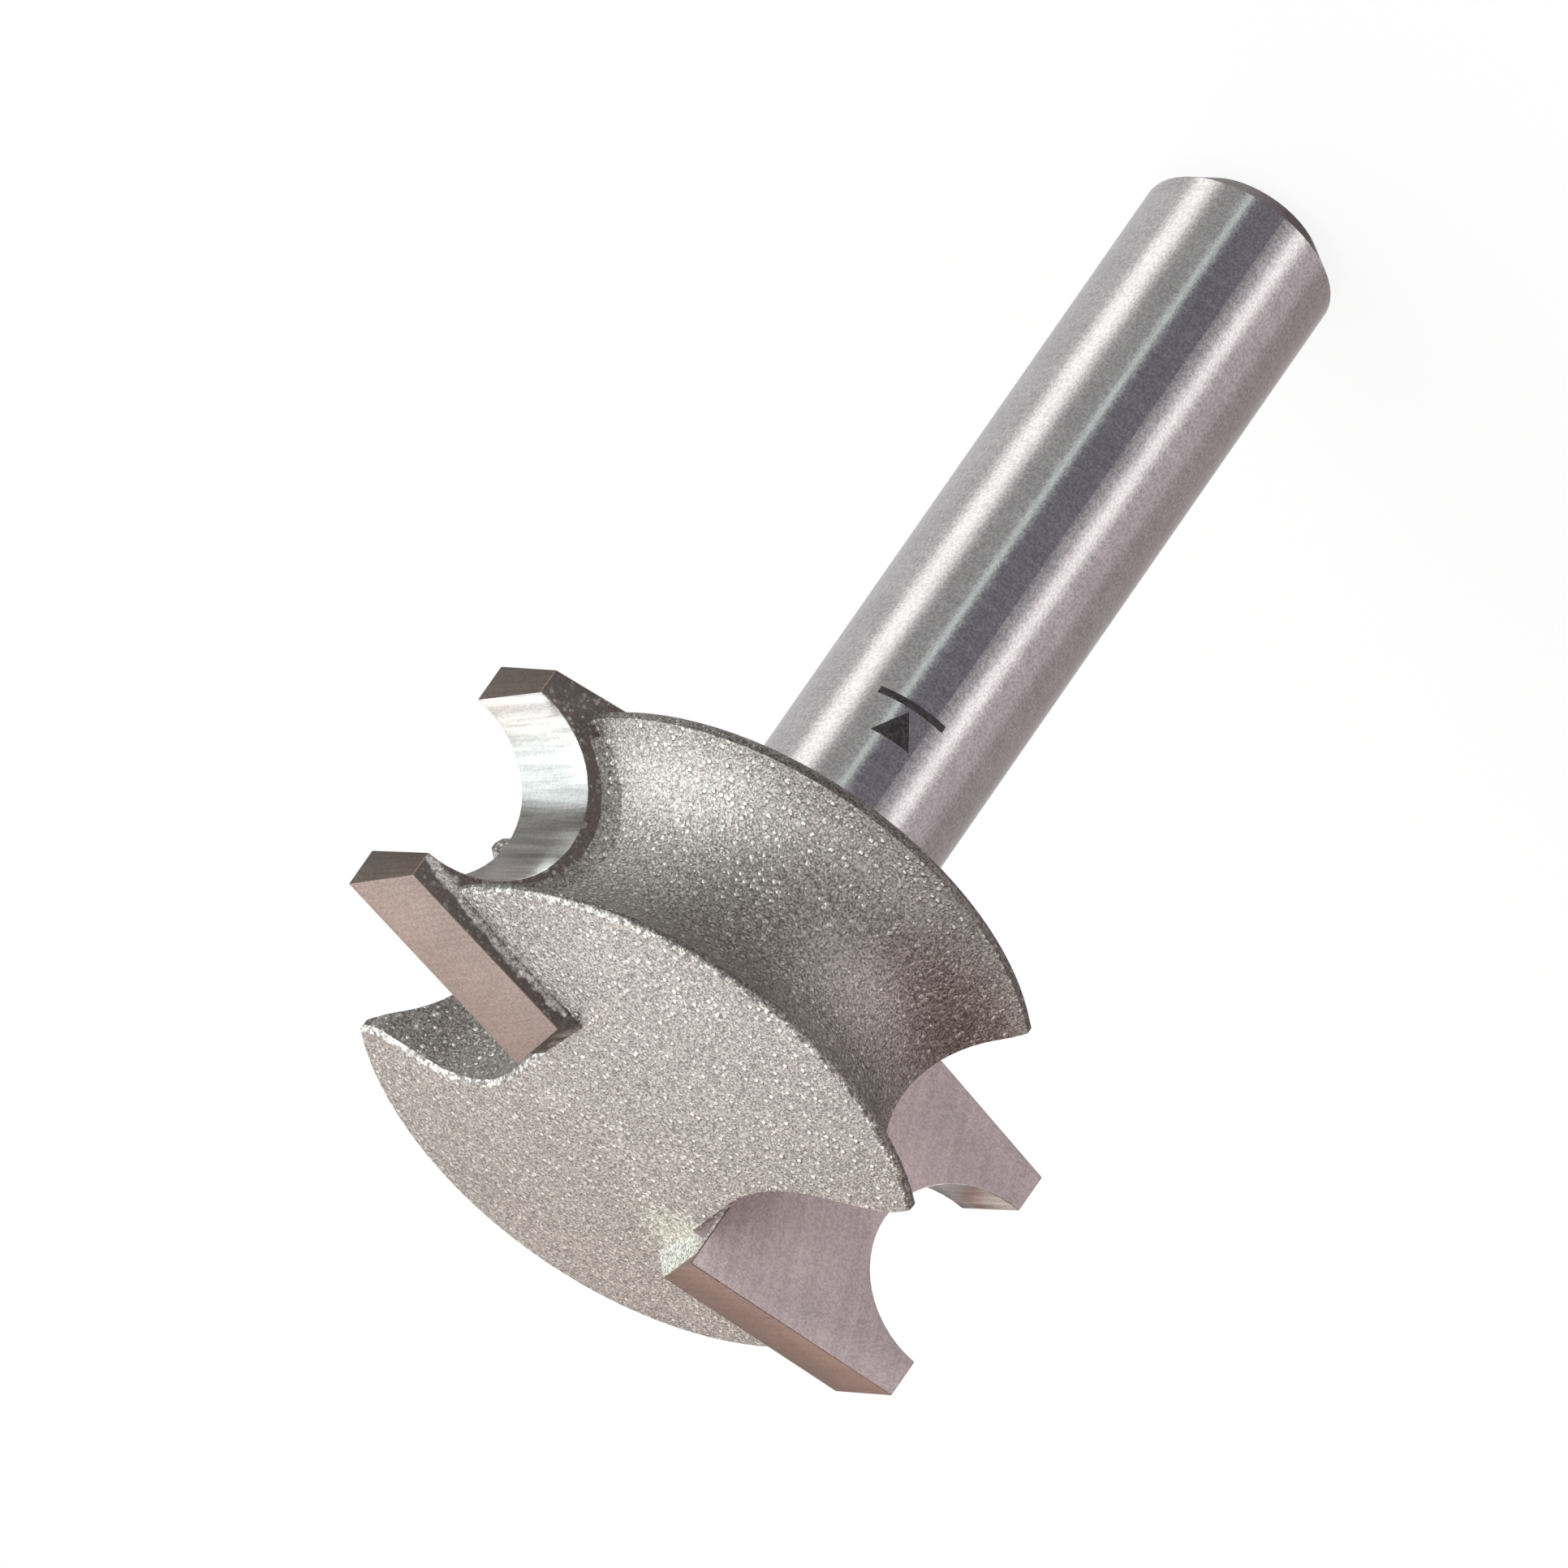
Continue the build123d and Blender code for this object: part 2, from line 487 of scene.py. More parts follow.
    def choose(self, factor, first, second):
        """The first shader where the factor is nothing, and the second where it is one."""
        made = self.add("ShaderNodeMixShader")
        for socket, value in zip(made.inputs, (factor, first, second)):
            self.feed(socket, value)
        return made.outputs[0]

    def surface(self, colour, roughness, metallic, normal):
        made = self.add("ShaderNodeBsdfPrincipled")
        self.feed(made.inputs["Base Color"], colour)
        self.feed(made.inputs["Roughness"], roughness)
        self.feed(made.inputs["Metallic"], metallic)
        self.feed(made.inputs["Normal"], normal)
        out = self.add("ShaderNodeOutputMaterial")
        self.feed(out.inputs["Surface"], made.outputs["BSDF"])


def material(name):
    """A new material, and the shader helper for its tree."""
    made = bpy.data.materials.new(name)
    made.use_nodes = True
    return made, Shader(made.node_tree)


# Pieces


def placed(name, data):
    """A new object with this data, in the scene."""
    made = bpy.data.objects.new(name, data)
    bpy.context.scene.collection.objects.link(made)
    return made


def finished_mesh(name, mesh):
    """A mesh that takes over from a bmesh."""
    data = bpy.data.meshes.new(name)
    mesh.to_mesh(data)
    mesh.free()
    return data


def new_piece(name, data, materials, node):
    """Makes a piece that rides on the bit, and that may stand for a CAD node."""
    piece = placed(name, data)
    for each in materials:
        data.materials.append(each)
    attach(piece, BODY)
    if node:
        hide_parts(node)
    return piece


def finish_node(name, made):
    """Gives a CAD node this material."""
    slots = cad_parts[name].material_slots
    if not slots:
        raise RuntimeError(name + " has no material slot to finish")
    for each in slots:
        each.material = made


# Steel


def bead_layer(s, per_metre, dull_share):
    """Round dimples with a painted glint, of which this share gets none."""
    beads = s.cells(per_metre)
    luck = s.add("ShaderNodeSeparateColor")
    s.feed(luck.inputs["Color"], beads.outputs["Color"])
    core = s.fade(beads.outputs["Distance"], *DIMPLE_EDGE)
    bright = s.ramp(luck.outputs["Red"], dull_share, 1.0, smooth=False)
    return s.times(s.math("POWER", bright, DIMPLE_POWER), core)


def blasted_grain(s, tint, steel):
    """Colour, roughness and height of bead-blasted metal."""
    pitch = 1.0 / steel.grain_size
    fine = s.noise(pitch * SPECKLE_FINER, detail=2.0, roughness=0.75)
    clump = s.noise(pitch * CLUMPS_FINER, detail=1.0)
    cloud = s.noise(HEAD_CLOUDS, detail=2.0)
    large = bead_layer(s, pitch, dull_share=0.25)
    small = bead_layer(s, pitch * SMALL_DIMPLES_FINER, dull_share=0.4)
    glint = s.math("MAXIMUM", large, s.times(small, 0.7))
    shade = s.times(
        s.spread(fine, 0.42, 1.32, near=0.15),
        s.spread(clump, 0.86, 1.10),
        s.spread(cloud, 0.95, 1.04),
    )
    # The brightest dimples get a painted glint
    colour = s.mix(glint, s.lighten(tint, shade), steel.glint)
    rough = s.minus(s.spread(fine, 0.42, 0.56), s.times(glint, 0.2))
    height = s.plus(s.times(fine, 0.5), s.times(glint, 0.8))
    return colour, rough, height


def head_looks(s, x, y, z):
    """Brightness of the head's edges with painted highlight, light, shade and staining, that of its
    gullets with painted shade, and where alloy is smeared on it.
    """
    facing_x, facing_y, tilt = s.facing()
    reach = s.reach(x, y)

    # The crown's rounded edges get a painted highlight, beaded light and dark, and the upright rim
    # lands are darker
    eased = s.times(s.ramp(tilt, *EASED_FROM), s.fade(tilt, *EASED_TO))
    beads = s.spread(s.noise(EDGE_BEADS, detail=1.0), -0.35, 0.45, near=0.08)
    painted_edge_highlight = s.times(eased, s.ramp(z, *EASED_EDGE_LEVEL), beads)
    upright = s.times(s.ramp(tilt, *RIM_FROM), s.fade(tilt, *RIM_TO))
    land = s.times(upright, s.ramp(reach, *RIM_LAND_REACH))
    edges = s.minus(s.plus(1.0, painted_edge_highlight), s.times(land, LAND_DARKER))

    # Behind each heel the groove gets painted shade and stain, and the crown painted light
    behind_heel = s.times(s.math("LESS_THAN", s.times(x, y), 0.0), s.ramp(s.size(x), *SEAT_REACH))
    ragged = s.spread(s.noise(HEAD_RAGGED, detail=3.0), *HEAD_SHIFT)
    gap = s.minus(s.size(y), ragged)
    stain_and_shade_share = s.fade(gap, *HEEL_STAIN_AND_SHADE_SIDE, STAIN_AND_SHADE_DARKER)
    stain_and_shade = s.times(stain_and_shade_share, behind_heel, s.fade(z, *GROOVE_TOP_LEVEL))
    painted_heel_light = s.fade(gap, *HEEL_LIFT_SIDE, HEEL_LIGHTER)
    painted_light_and_smear = s.times(painted_heel_light, s.ramp(z, *CROWN_LEVEL), behind_heel)

    # Alloy is smeared on the crown round the ramp of tip 1
    away = s.plus(s.reach(x, y, SMEAR_SPOT), s.times(ragged, 2.0))
    smear = s.times(s.fade(away, *SMEAR_REACH), s.ramp(tilt, *CROWN_FACING))
    painted_light_and_smear = s.plus(painted_light_and_smear, s.times(smear, SMEAR_LIGHTER))
    edges = s.times(edges, s.minus(s.plus(1.0, painted_light_and_smear), stain_and_shade))

    # The gullets' upright walls are darker with painted shade
    radial = s.math("DIVIDE", s.plus(s.times(facing_x, x), s.times(facing_y, y)), reach)
    inside = s.math("MAXIMUM", s.fade(reach, *GULLET_REACH), s.fade(radial, *GULLET_FACING))
    milled = s.times(s.fade(s.size(tilt), *WALL_FACING), inside)
    return edges, s.minus(1.0, s.times(milled, WALL_DARKER)), smear


def ground_shank(s, steel):
    """Colour, roughness and height of the ground shank."""
    rings = s.noise(SHANK_RINGS, detail=3.0, stretch=(6.0, 6.0, 1.0))
    fine = s.noise(SHANK_GRAIN, detail=2.0, roughness=0.75)
    soft = s.noise(SHANK_CLOUDS, detail=2.0)
    shade = s.times(
        s.spread(fine, 0.76, 1.16, near=0.16),
        s.spread(rings, 0.94, 1.05),
        s.spread(soft, 0.95, 1.03),
    )
    rough = s.plus(s.spread(rings, 0.12, 0.17), s.spread(fine, 0.0, 0.06))
    height = s.plus(s.times(rings, 0.5), s.times(fine, 0.8))
    return s.lighten(steel.ground, shade), rough, height


def beside_rake(s, x, y, z):
    """One on the strips of steel that are ground together with the rake faces."""
    return s.times(
        s.math("GREATER_THAN", s.size(s.facing()[1]), 0.99),
        s.math("LESS_THAN", s.size(x), STRIP_REACH),
        s.math("LESS_THAN", s.size(y), STRIP_SIDE),
        s.math("GREATER_THAN", z, HEAD_START),
    )


def steel_material(steel, rake, alloy):
    """The ground shank, the blasted head, and the strips ground with the rake faces."""
    made, s = material("ground_and_blasted_steel")
    x, y, z = s.split()
    ragged = s.times(s.minus(s.noise(BLAST_RAGGED, detail=3.0), 0.5), BLAST_SHIFT)
    blast = s.ramp(s.plus(z, ragged), steel.blast_start, steel.blast_end)
    ground, ground_rough, ground_height = ground_shank(s, steel)
    edges, gullets, smear = head_looks(s, x, y, z)
    # The gullets' painted shade darkens the tint, and the edges' painted highlight, light, shade
    # and stain go over the grain
    tint = s.lighten(s.mix(s.times(smear, SMEAR_TINT), steel.blasted, alloy), gullets)
    grain, grain_rough, grain_height = blasted_grain(s, tint, steel)
    colour = s.mix(blast, ground, s.mix(1.0, grain, edges, "MULTIPLY"))
    smooth_part = s.minus(1.0, blast)
    normal = s.bump(ground_height, s.times(smooth_part, GROUND_BUMP), GROUND_DEPTH)
    normal = s.bump(grain_height, s.times(blast, BLASTED_BUMP), BLASTED_DEPTH, normal)
    strip = beside_rake(s, x, y, z)
    colour = s.mix(strip, colour, s.lighten(rake, STRIP_LIGHTER))
    metallic = s.between(strip, s.between(blast, 1.0, HEAD_METALLIC), RAKE_METALLIC)
    s.surface(colour, s.between(blast, ground_rough, grain_rough), metallic, normal)
    return made


class ROUTERBIT_OT_body(bpy.types.Operator):
    """Finish the turned and milled cutter body"""

    bl_idname = "routerbit.body"
    bl_label = "Cutter body"

    def execute(self, context):
        settings = context.scene.router_bit
        made = steel_material(settings.steel, settings.tips.rake, settings.braze.alloy)
        finish_node("cutter_body", made)
        return {"FINISHED"}


# Carbide tips


def carbide_material(name, colour, rough, metallic, wheel_gap, turn, lines, inward_painted_light=1.0):
    """Ground carbide, its wheel lines this far apart along turned X, lighter or darker inwards with
    painted light or shade.
    """
    made, s = material(name)
    grain = s.noise(CARBIDE_GRAIN, detail=2.0, roughness=0.7)
    cloud = s.noise(CARBIDE_CLOUDS, detail=2.0)
    wheel = s.noise(1.0 / wheel_gap, detail=3.0, stretch=(1.0, 40.0, 40.0), turn=turn)
    shade = s.times(
        s.spread(grain, 0.84, 1.15, near=0.16),
        s.spread(cloud, 0.94, 1.05),
        s.spread(wheel, 1.0 - lines, 1.0 + lines, near=0.15),
        # Painted light or shade that grows towards the axis
        s.ramp(s.size(s.split()[0]), *TIP_REACH, inward_painted_light, 1.0),
    )
    rougher = s.spread(grain, rough - 0.04, rough + 0.04)
    normal = s.bump(s.plus(s.times(grain, 0.5), wheel), strength=0.15, distance=GROUND_DEPTH)
    s.surface(s.lighten(colour, shade), rougher, metallic, normal)
    return made


def heel_material(tips, steel):
    """Back of a tip: dark with dirt and painted shade, blasted together with the head, its foot
    smeared with bright grain.
    """
    made, s = material("blasted_heel")
    dark, rough, height = blasted_grain(s, tips.heel, steel)
    worn = s.ramp(s.noise(HEEL_WEAR, detail=3.0), 0.35, 0.7, 0.45, 0.85)
    smeared = s.lighten(blasted_grain(s, steel.blasted, steel)[0], FOOT_LIGHTER)
    x, y, z = s.split()
    crown = s.minus(CROWN_TOP, s.math("DIVIDE", s.squared_reach(x, y), CROWN_SPHERE))
    ragged = s.spread(s.noise(FOOT_RAGGED, detail=3.0), *FOOT_SHIFT)
    above = s.plus(s.minus(z, crown), ragged)
    foot = s.times(s.fade(above, *FOOT_END), s.ramp(above, *FOOT_START))
    colour = s.mix(foot, s.mix(worn, dark, tips.heel), smeared)
    normal = s.bump(height, strength=0.4, distance=HEEL_DEPTH)
    s.surface(colour, rough, HEEL_METALLIC, normal)
    return made


def relief_material(name, colour, painted_bands):
    """Concave relief, streaked by the wheel, made lighter or darker from one level to the next by
    painted reflection and shade.
    """
    made, s = material(name)
    along = {"stretch": (1.0, 60.0, 1.0), "turn": RELIEF_LINES}
    streak = s.noise(RELIEF_STREAKS, detail=4.0, roughness=0.7, **along)
    level = s.split()[2]
    shade = s.times(
        s.spread(streak, 0.72, 1.1, near=0.15),
        s.spread(s.noise(RELIEF_SHADES, detail=1.0, **along), 0.8, 1.08),
        s.spread(s.noise(CARBIDE_GRAIN, detail=1.0), 0.90, 1.05, near=0.15),
        *[s.ramp(level, *span(low, high), 1.0, after) for low, high, after in painted_bands],
    )
    normal = s.bump(streak, strength=0.2, distance=GROUND_DEPTH)
    s.surface(s.lighten(colour, shade), s.spread(streak, 0.16, 0.26), 1.0, normal)
    return made


def clean_copy(node):
    """A merged copy of a CAD node's mesh, as a bmesh."""
    mesh = bmesh.new()
    mesh.from_mesh(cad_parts[node].data)
    bmesh.ops.remove_doubles(mesh, verts=mesh.verts, dist=WELD)
    return mesh


def shared_edges(mesh):
    """Each edge between two faces, with the angle at which they meet."""
    return [(edge, edge.calc_face_angle(0.0)) for edge in mesh.edges if len(edge.link_faces) == 2]


def place_on_tip(face, side):
    """Which of the tip's materials a face takes, on the tip that reaches out to this side."""
    outward = face.normal.x * side
    forward = face.normal.y * side
    middle = face.calc_center_median()
    off_bead = abs(middle.z - BEAD_LEVEL)
    reach = abs(middle.x)
    in_notch = off_bead < NOTCH_OFF_BEAD and reach > NOTCH_START
    if abs(forward) > RAKE_FACING:
        return RAKE if forward > 0 else HEEL
    if off_bead > LAND_OFF_BEAD and outward > LAND_FACING:
        return LAND
    near_bead = off_bead < RELIEF_OFF_BEAD and reach > RELIEF_START
    if near_bead and (outward > RELIEF_FACING or in_notch):
        return RELIEF
    return END


def dressed_tip(name, node, side, tips, materials):
    """A tip with honed edges, and its rake face, flanks and relief told apart."""
    mesh = clean_copy(node)
    flat = [edge for edge, bend in shared_edges(mesh) if bend < FLAT]
    bmesh.ops.dissolve_edges(mesh, edges=flat, use_verts=True)
    sharp = [edge for edge, bend in shared_edges(mesh) if bend > HONED_FROM]
    bmesh.ops.bevel(
        mesh,
        geom=sharp,
        offset=tips.edge_break,
        offset_type="OFFSET",
        segments=2,
        profile=0.5,
        affect="EDGES",
        clamp_overlap=True,
    )
    for face in mesh.faces:
        face.material_index = place_on_tip(face, side)
        face.smooth = True
    for edge, bend in shared_edges(mesh):
        edge.smooth = bend < SMOOTH_UP_TO
    return new_piece(name, finished_mesh(name, mesh), materials, node)


def ground_end(name, colour, inward_painted_light):
    """The ground end face of a tip."""
    return carbide_material(
        name,
        colour,
        rough=0.4,
        metallic=END_METALLIC,
        wheel_gap=0.12 * MM,
        turn=END_LINES,
        lines=0.05,
        inward_painted_light=inward_painted_light,
    )


class ROUTERBIT_OT_tips(bpy.types.Operator):
    """Hone and finish the brazed carbide tips"""

    bl_idname = "routerbit.tips"
    bl_label = "Carbide tips"

    def execute(self, context):
        tips = context.scene.router_bit.tips
        steel = context.scene.router_bit.steel
        shared = [
            # The rake faces get painted light towards the axis
            carbide_material(
                "lapped_rake_face",
                tips.rake,
                rough=0.45,
                metallic=RAKE_METALLIC,
                wheel_gap=0.3 * MM,
                turn=RAKE_LINES,
                lines=0.05,
                inward_painted_light=1.4,
            ),
            heel_material(tips, steel),
            carbide_material(
                "ground_land",
                tips.land,
                rough=0.5,
                metallic=LAND_METALLIC,
                wheel_gap=0.1 * MM,
                turn=LAND_LINES,
                lines=0.08,
            ),
        ]
        # Tip 1's end gets a reddish painted shade, and painted shade towards the axis
        warm = [a * b for a, b in zip(tips.end, SHADED_END_TINT)]
        # Tip 1's relief gets a darker, duller copy of the relief colour as painted shade
        shaded_relief = [(a + b) / 2 for a, b in zip(tips.end, tips.relief)]
        of_tip_1 = [
            ground_end("shaded_ground_end", warm, inward_painted_light=0.8),
            relief_material("shaded_bead_relief", shaded_relief, ()),
        ]
        of_tip_2 = [
            ground_end("ground_end", tips.end, inward_painted_light=1.0),
            relief_material("polished_bead_relief", tips.relief, PAINTED_RELIEF_BANDS),
        ]
        dressed_tip("honed_tip_1", "carbide_tip_1", 1.0, tips, shared + of_tip_1)
        dressed_tip("honed_tip_2", "carbide_tip_2", -1.0, tips, shared + of_tip_2)
        return {"FINISHED"}


# Brazing alloy


def braze_material(name, alloy, braze, steel, stain_and_shade_share):
    """Alloy blasted together with the head, bare and greenish on the crown, with flux staining that
    on tip 2 is partly painted shade, and painted light on the ramps' upright sides.
    """
    made, s = material(name)
    x, y, z = s.split()
    on_crown = s.ramp(z, *ALLOY_LEVEL)
    base, rough, height = blasted_grain(s, s.mix(on_crown, steel.blasted, alloy), steel)

    # The flux stain on the crown, on tip 2 partly painted shade, fades along the heel, and a
    # fainter stain runs down behind it
    uneven = s.noise(ALLOY_RAGGED, detail=3.0, roughness=0.6)
    inward = s.plus(s.size(x), s.spread(uneven, *ALLOY_SHIFT, near=0.15))
    fading = s.ramp(inward, *STAIN_AND_SHADE_END, 1.0, STAIN_AND_SHADE_LEAST)
    stain_and_shade = s.times(s.ramp(inward, *STAIN_AND_SHADE_START), on_crown, fading)
    base = s.mix(s.times(stain_and_shade, stain_and_shade_share), base, braze.tarnish_and_shade)
    below = s.minus(1.0, on_crown)
    behind = s.fade(s.size(y), *ALLOY_SIDE, GROOVE_STAINED)
    base = s.mix(s.times(behind, below), base, braze.tarnish_and_shade)

    # The upright side of the bare ramp gets painted light, more where there is less staining, and
    # is duller
    side = s.times(s.fade(s.size(s.facing()[2]), *ALLOY_WALL_FACING), on_crown)
    base = s.lighten(base, s.plus(1.0, s.times(side, 1.0 - stain_and_shade_share)))
    metallic = s.between(side, ALLOY_METALLIC, ALLOY_METALLIC * stain_and_shade_share)
    s.surface(base, rough, metallic, s.bump(height, strength=0.5, distance=BLASTED_DEPTH))
    return made


class ROUTERBIT_OT_braze(bpy.types.Operator):
    """Finish the brazing alloy between the tips and their seats"""

    bl_idname = "routerbit.braze"
    bl_label = "Brazing alloy"

    def execute(self, context):
        settings = context.scene.router_bit
        for node, name, alloy, stain_and_shade_share in (
            ("braze_seam_1", "bright_braze", settings.braze.alloy, BRIGHT_STAINED),
            ("braze_seam_2", "stained_and_shaded_braze", settings.steel.blasted, STAINED_AND_SHADED),
        ):
            made = braze_material(name, alloy, settings.braze, settings.steel, stain_and_shade_share)
            finish_node(node, made)
        return {"FINISHED"}


# Depth mark


def nodes_group(name, sizes):
    """A Geometry Nodes tree with named size inputs, its input node and its output node."""
    tree = bpy.data.node_groups.new(name, "GeometryNodeTree")
    tree.interface.new_socket("Geometry", in_out="INPUT", socket_type="NodeSocketGeometry")
    tree.interface.new_socket("Geometry", in_out="OUTPUT", socket_type="NodeSocketGeometry")
    for label, kind in sizes:
        tree.interface.new_socket(label, in_out="INPUT", socket_type=kind)
    return tree, tree.nodes.new("NodeGroupInput"), tree.nodes.new("NodeGroupOutput")


def mark_tree():
    """A line with a solid arrowhead, drawn flat and laid round the shank."""
    sizes = [(label, "NodeSocketFloat") for label in MARK_SIZES]
    inputs = [*sizes, ("Material", "NodeSocketMaterial")]
    tree, start, end = nodes_group("depth_mark_on_shank", inputs)
    join = tree.nodes.new("GeometryNodeJoinGeometry")
    link = tree.links.new

    def calc(operation, first, second=None):
        made = tree.nodes.new("ShaderNodeMath")
        made.operation = operation
        for socket, value in zip(made.inputs, (first, second)):
            if isinstance(value, bpy.types.NodeSocket):
                link(value, socket)
            elif value is not None:
                socket.default_value = value
        return made.outputs[0]

    width = start.outputs["Line width"]
    line = tree.nodes.new("GeometryNodeMeshGrid")
    link(start.outputs["Line length"], line.inputs["Size X"])
    link(width, line.inputs["Size Y"])
    line.inputs["Vertices X"].default_value, line.inputs["Vertices Y"].default_value = LINE_POINTS
    link(line.outputs["Mesh"], join.inputs[0])

    # The arrowhead is a triangle, one and a half times as high as its circle's radius
    reach = calc("DIVIDE", start.outputs["Arrow length"], 1.5)
    head = tree.nodes.new("GeometryNodeMeshCircle")
    head.fill_type = "NGON"
    head.inputs["Vertices"].default_value = 3
    link(reach, head.inputs["Radius"])
    finer = tree.nodes.new("GeometryNodeSubdivideMesh")
    finer.inputs["Level"].default_value = ARROW_SPLITS
    link(head.outputs["Mesh"], finer.inputs["Mesh"])
    spot = tree.nodes.new("ShaderNodeCombineXYZ")
    link(calc("ADD", reach, calc("MULTIPLY", width, ARROW_GAP)), spot.inputs["Y"])
    move = tree.nodes.new("GeometryNodeTransform")
    link(finer.outputs["Mesh"], move.inputs["Geometry"])
    link(spot.outputs[0], move.inputs["Translation"])
    move.inputs["Rotation"].default_value = (0.0, 0.0, math.radians(-90))
    link(move.outputs[0], join.inputs[0])

    raise_up = tree.nodes.new("GeometryNodeExtrudeMesh")
    raise_up.mode = "FACES"
    raise_up.inputs["Individual"].default_value = False
    link(join.outputs[0], raise_up.inputs["Mesh"])
    link(start.outputs["Thickness"], raise_up.inputs["Offset Scale"])
    whole = tree.nodes.new("GeometryNodeJoinGeometry")
    turned = tree.nodes.new("GeometryNodeFlipFaces")
    link(join.outputs[0], turned.inputs["Mesh"])
    link(raise_up.outputs["Mesh"], whole.inputs[0])
    link(turned.outputs["Mesh"], whole.inputs[0])
    weld = tree.nodes.new("GeometryNodeMergeByDistance")
    weld.inputs["Distance"].default_value = MARK_WELD
    link(whole.outputs[0], weld.inputs["Geometry"])

    here = tree.nodes.new("GeometryNodeInputPosition")
    flat = tree.nodes.new("ShaderNodeSeparateXYZ")
    link(here.outputs[0], flat.inputs[0])
    radius = start.outputs["Shank radius"]
    turn = calc("ADD", start.outputs["Bearing"], calc("DIVIDE", flat.outputs["X"], radius))
    out = calc("ADD", radius, calc("SUBTRACT", flat.outputs["Z"], MARK_SINK))
    bent = tree.nodes.new("ShaderNodeCombineXYZ")
    link(calc("MULTIPLY", out, calc("COSINE", turn)), bent.inputs["X"])
    link(calc("MULTIPLY", out, calc("SINE", turn)), bent.inputs["Y"])
    link(calc("ADD", start.outputs["Level"], flat.outputs["Y"]), bent.inputs["Z"])
    lay = tree.nodes.new("GeometryNodeSetPosition")
    link(weld.outputs[0], lay.inputs["Geometry"])
    link(bent.outputs[0], lay.inputs["Position"])
    real = tree.nodes.new("GeometryNodeRealizeInstances")
    paint = tree.nodes.new("GeometryNodeSetMaterial")
    link(lay.outputs[0], real.inputs[0])
    link(real.outputs[0], paint.inputs["Geometry"])
    link(start.outputs["Material"], paint.inputs["Material"])
    link(paint.outputs[0], end.inputs[0])
    return tree


def grown(name, tree, values):
    """The plain mesh that a Geometry Nodes tree makes with these inputs."""
    holder = placed(name + "_maker", bpy.data.meshes.new(name + "_maker"))
    modifier = holder.modifiers.new("maker", "NODES")
    modifier.node_group = tree
    for item in tree.interface.items_tree:
        if item.in_out == "INPUT" and item.name in values:
            modifier[item.identifier] = values[item.name]
    ready = holder.evaluated_get(bpy.context.evaluated_depsgraph_get())
    data = bpy.data.meshes.new_from_object(ready)
    data.name = name
    holder.modifiers.clear()
    bpy.data.objects.remove(holder)
    if not data.polygons:
        raise RuntimeError(name + " came out empty")
    return data


def mark_material(ink):
    """Dark, unevenly burnt steel."""
    made, s = material("laser_etched_mark")
    burn = s.noise(MARK_BURN, detail=3.0)
    pale = tuple(min(1.0, MARK_PALER * each) for each in ink)
    base = s.mix(s.ramp(burn, 0.35, 0.7, 0.0, 0.6), ink, pale)
    normal = s.bump(burn, strength=0.3, distance=GROUND_DEPTH)
    s.surface(base, s.spread(burn, 0.45, 0.65), MARK_METALLIC, normal)
    return made


class ROUTERBIT_OT_depth_mark(bpy.types.Operator):
    """Etch the plain depth mark on the shank"""

    bl_idname = "routerbit.depth_mark"
    bl_label = "Depth mark"

    def execute(self, context):
        mark = context.scene.router_bit.mark
        ink = mark_material(mark.ink)
        values = {
            "Shank radius": SHANK_RADIUS,
            "Level": mark.level,
            "Bearing": mark.bearing,
            "Line length": mark.line_length,
            "Line width": mark.line_width,
            "Arrow length": mark.arrow_length,
            "Thickness": MARK_THICKNESS,
            "Material": ink,
        }
        data = grown("depth_mark", mark_tree(), values)
        data.materials.clear()
        new_piece("depth_mark", data, [ink], None)
        return {"FINISHED"}


# Studio


WHITE = (1.0, 1.0, 1.0)

# Soft panels round the bit, in rings from low to high: what each is, its bearing, half width and
# soft edge in degrees, and its colour. The shank mirrors the low ring, the groove and the gullets
# mirror the ones above and below it, and the crown and the tips' ends mirror the ceiling.
LOW_ROOM = (0.66, 0.66, 0.655)
LOW_PANELS = (
    ("warm wall", -5, 28, 60, (0.41, 0.36, 0.355)),
    ("plum wall", 26, 8, 18, (0.60, 0.53, 0.55)),
    ("grey wall", 138, 12, 16, (0.43, 0.44, 0.43)),
    ("dark screen", 95, 18, 14, (0.20, 0.195, 0.225)),
    ("window", 177, 3, 19, (1.62, 1.64, 1.58)),
    ("rose tube", 53, 0, 16, (1.55, 1.48, 1.49)),
    ("green tube", 123, 0, 5, (1.10, 1.27, 1.21)),
)
MIDDLE_ROOM = (0.50, 0.49, 0.48)
MIDDLE_PANELS = (
    ("warm screen", 0, 22, 20, (0.30, 0.21, 0.18)),
    ("shade", 135, 25, 25, (0.30, 0.29, 0.27)),
    ("rose wall", 50, 12, 22, (1.60, 1.47, 1.53)),
)
HIGH_ROOM = (0.75, 0.78, 0.78)
HIGH_PANELS = (
    ("rose ceiling light", -85, 32, 32, (1.18, 1.08, 1.01)),
    ("dusk", 84, 24, 44, (0.22, 0.20, 0.22)),
    ("warm dusk", 5, 45, 25, (0.185, 0.105, 0.078)),
    ("sky", 196, 14, 58, (1.75, 1.89, 1.91)),
)
UNDER_PANELS = (
    ("rose carpet", 66, 8, 46, (0.44, 0.37, 0.405)),
    ("deep shade", 150, 20, 30, (0.05, 0.042, 0.040)),
    ("pale carpet", -128, 25, 35, (0.36, 0.335, 0.33)),
)

# Heights at which one ring goes over into the next, from -1 straight down to 1 straight up
UNDER_END = (-0.68, -0.58)
LOW_END = (-0.43, -0.32)
MIDDLE_END = (-0.10, 0.10)
SKIRTING_END = (0.0, 0.5)
CEILING_START = (0.5, 0.92)

# The same along X: where the skirting stops on the near side, and the far ceiling starts
NEAR_SIDE = (-0.7, -0.3)
FAR_SIDE = (0.22, 0.7)

